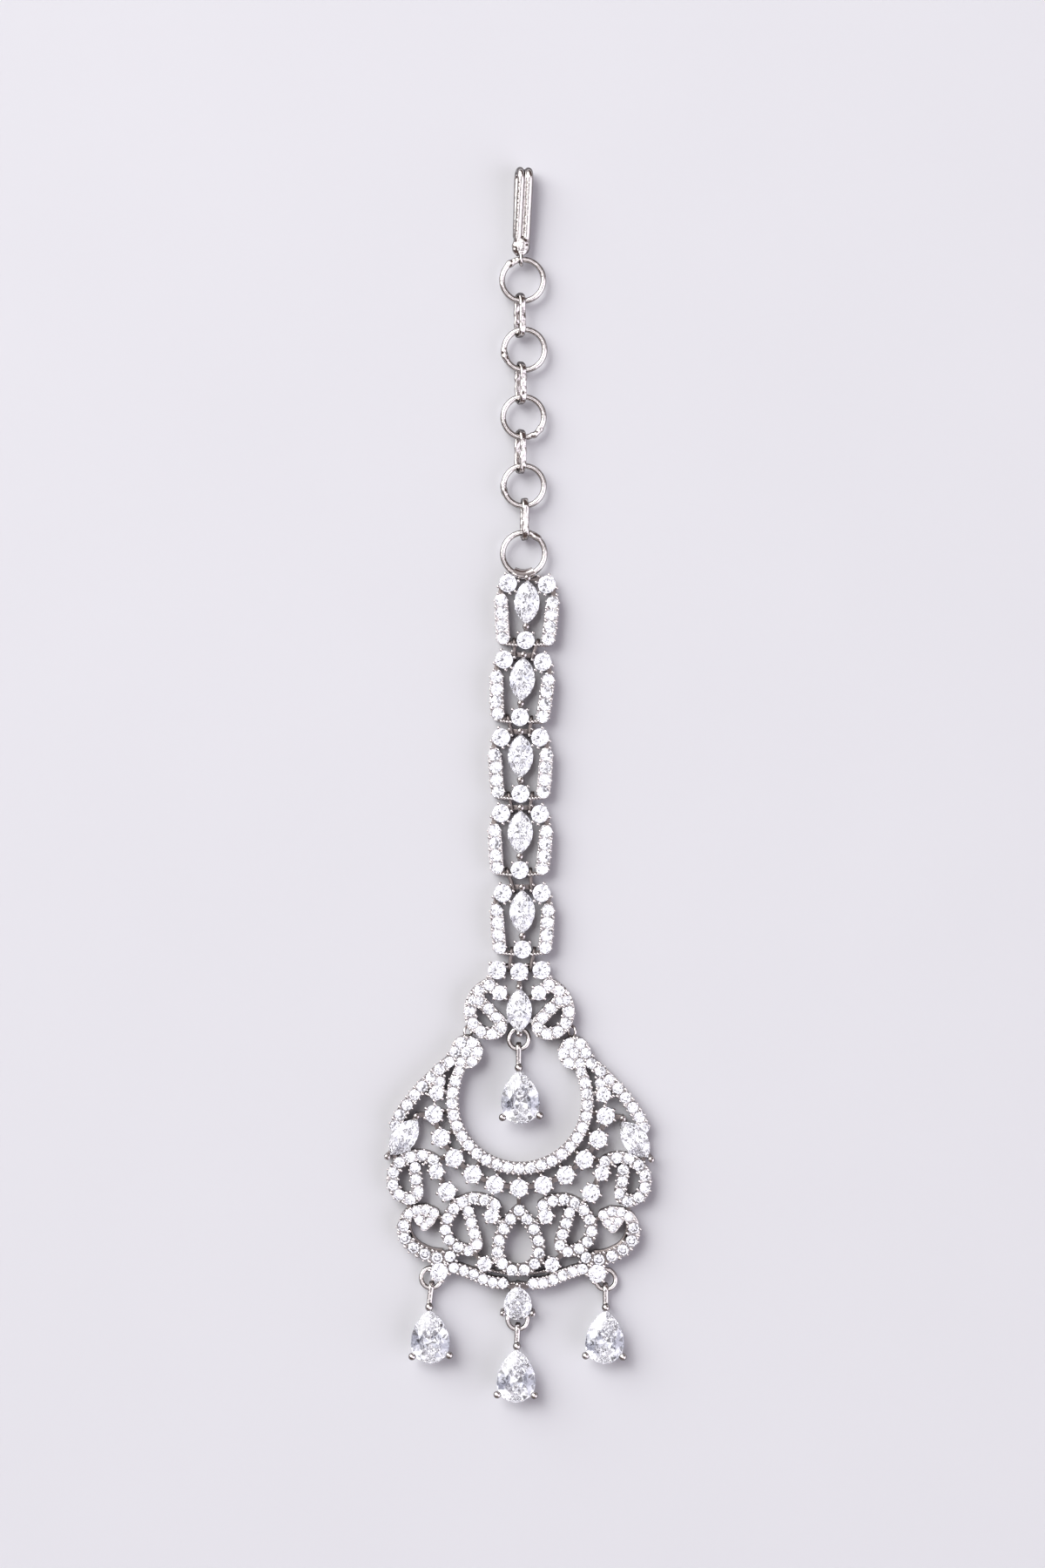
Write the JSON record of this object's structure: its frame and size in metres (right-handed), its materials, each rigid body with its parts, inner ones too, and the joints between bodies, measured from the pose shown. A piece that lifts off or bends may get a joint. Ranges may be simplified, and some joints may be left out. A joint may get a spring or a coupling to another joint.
{
  "type": "maang tikka",
  "caption": "Forehead ornament of clear cut stones: hair hook and ring chain, stone-set links, crown piece and openwork crescent pendant with pear drops.",
  "frame": {"origin": "centre of the whole piece's outline, on the surface that it lies on", "axes": "+Y from the lower drop to the hair hook, +Z out of the stones' faces, +X to the right as seen from the front"},
  "size_m": [0.0353, 0.1612, 0.0033],
  "materials": {
    "rhodium_plated_metal": "bright polished silver-white plating",
    "clear_stone": "clear colourless cut stone"
  },
  "bodies": {
    "root": {"base_pear": "clear_stone", "connector_1": "rhodium_plated_metal", "connector_2": "rhodium_plated_metal", "connector_3": "rhodium_plated_metal", "connector_4": "rhodium_plated_metal", "crown_frame": "rhodium_plated_metal", "crown_loop_left": "rhodium_plated_metal", "crown_loop_right": "rhodium_plated_metal", "crown_marquise": "clear_stone", "crown_rounds": "clear_stone", "drop_ring_centre": "rhodium_plated_metal", "drop_ring_inner": "rhodium_plated_metal", "drop_ring_left": "rhodium_plated_metal", "drop_ring_right": "rhodium_plated_metal", "drop_setting_centre": "rhodium_plated_metal", "drop_setting_inner": "rhodium_plated_metal", "drop_setting_left": "rhodium_plated_metal", "drop_setting_right": "rhodium_plated_metal", "drop_stone_centre": "clear_stone", "drop_stone_inner": "clear_stone", "drop_stone_left": "clear_stone", "drop_stone_right": "clear_stone", "hair_hook": "rhodium_plated_metal", "link_frame_1": "rhodium_plated_metal", "link_frame_2": "rhodium_plated_metal", "link_frame_3": "rhodium_plated_metal", "link_frame_4": "rhodium_plated_metal", "link_frame_5": "rhodium_plated_metal", "link_loops_1": "rhodium_plated_metal", "link_loops_2": "rhodium_plated_metal", "link_loops_3": "rhodium_plated_metal", "link_loops_4": "rhodium_plated_metal", "link_loops_5": "rhodium_plated_metal", "link_marquise_1": "clear_stone", "link_marquise_2": "clear_stone", "link_marquise_3": "clear_stone", "link_marquise_4": "clear_stone", "link_marquise_5": "clear_stone", "link_rounds_1": "clear_stone", "link_rounds_2": "clear_stone", "link_rounds_3": "clear_stone", "link_rounds_4": "clear_stone", "link_rounds_5": "clear_stone", "pendant_frame": "rhodium_plated_metal", "pendant_rounds": "clear_stone", "ring_1": "rhodium_plated_metal", "ring_2": "rhodium_plated_metal", "ring_3": "rhodium_plated_metal", "ring_4": "rhodium_plated_metal", "ring_5": "rhodium_plated_metal", "side_marquise_left": "clear_stone", "side_marquise_right": "clear_stone"}
  },
  "joints": []
}
